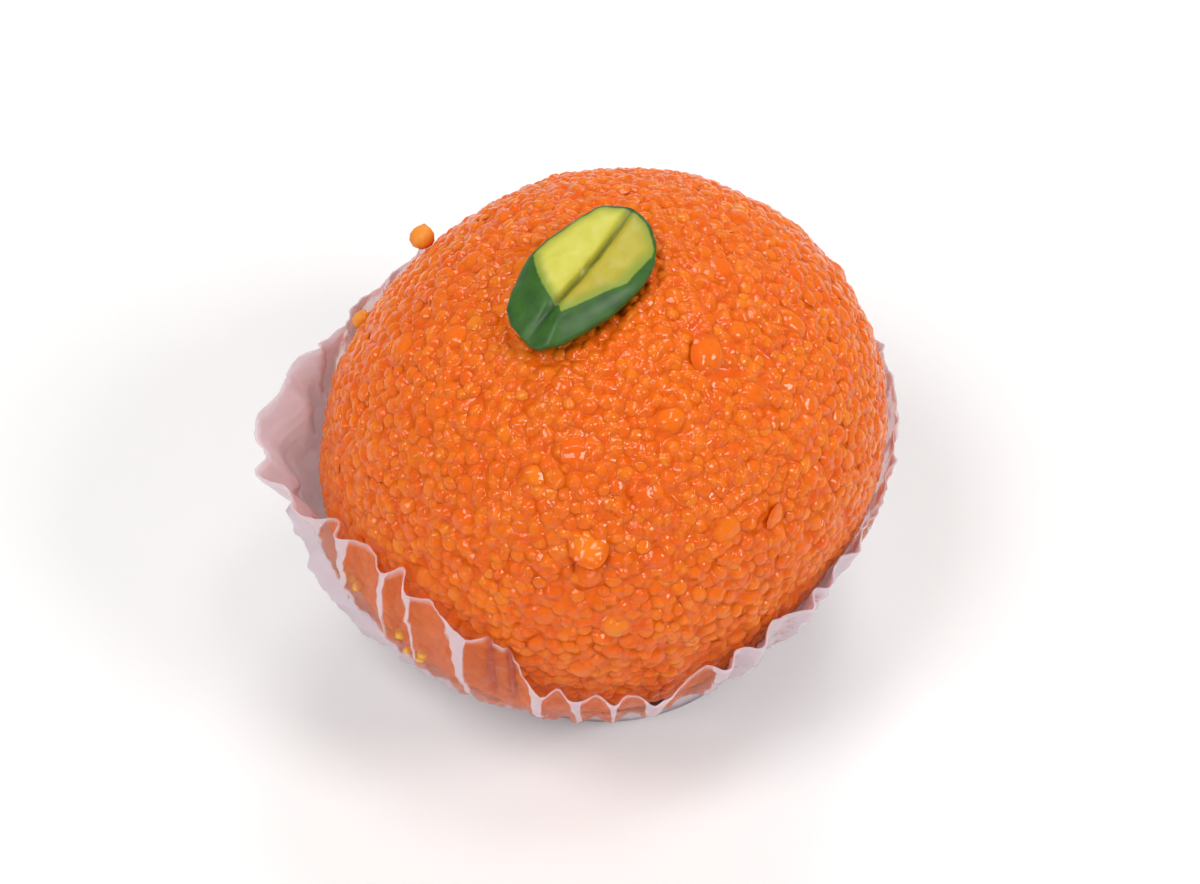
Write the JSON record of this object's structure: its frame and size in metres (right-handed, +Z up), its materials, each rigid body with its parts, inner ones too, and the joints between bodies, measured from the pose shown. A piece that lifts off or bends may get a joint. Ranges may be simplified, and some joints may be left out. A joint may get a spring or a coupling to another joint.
{
  "type": "ladoo",
  "caption": "Round ladoo of fine glazed gram-flour pearls in a fluted translucent paper case, with half a pistachio kernel pressed into its top.",
  "frame": {"origin": "on the surface that the case stands on, below the middle of the whole part's box", "axes": "+Z up; -Y is the front, where the case's rim dips lowest; +X to the right seen from the front"},
  "size_m": [0.0564, 0.0572, 0.0446],
  "materials": {
    "ladoo": "orange gram-flour pearls under a glossy syrup glaze",
    "paper_case": "thin translucent greaseproof paper, clear where it is oily",
    "pistachio": "moist yellow-green cut face, deep green skin"
  },
  "bodies": {
    "root": {"ladoo": "ladoo", "paper_case": "paper_case", "pistachio": "pistachio"}
  },
  "joints": []
}
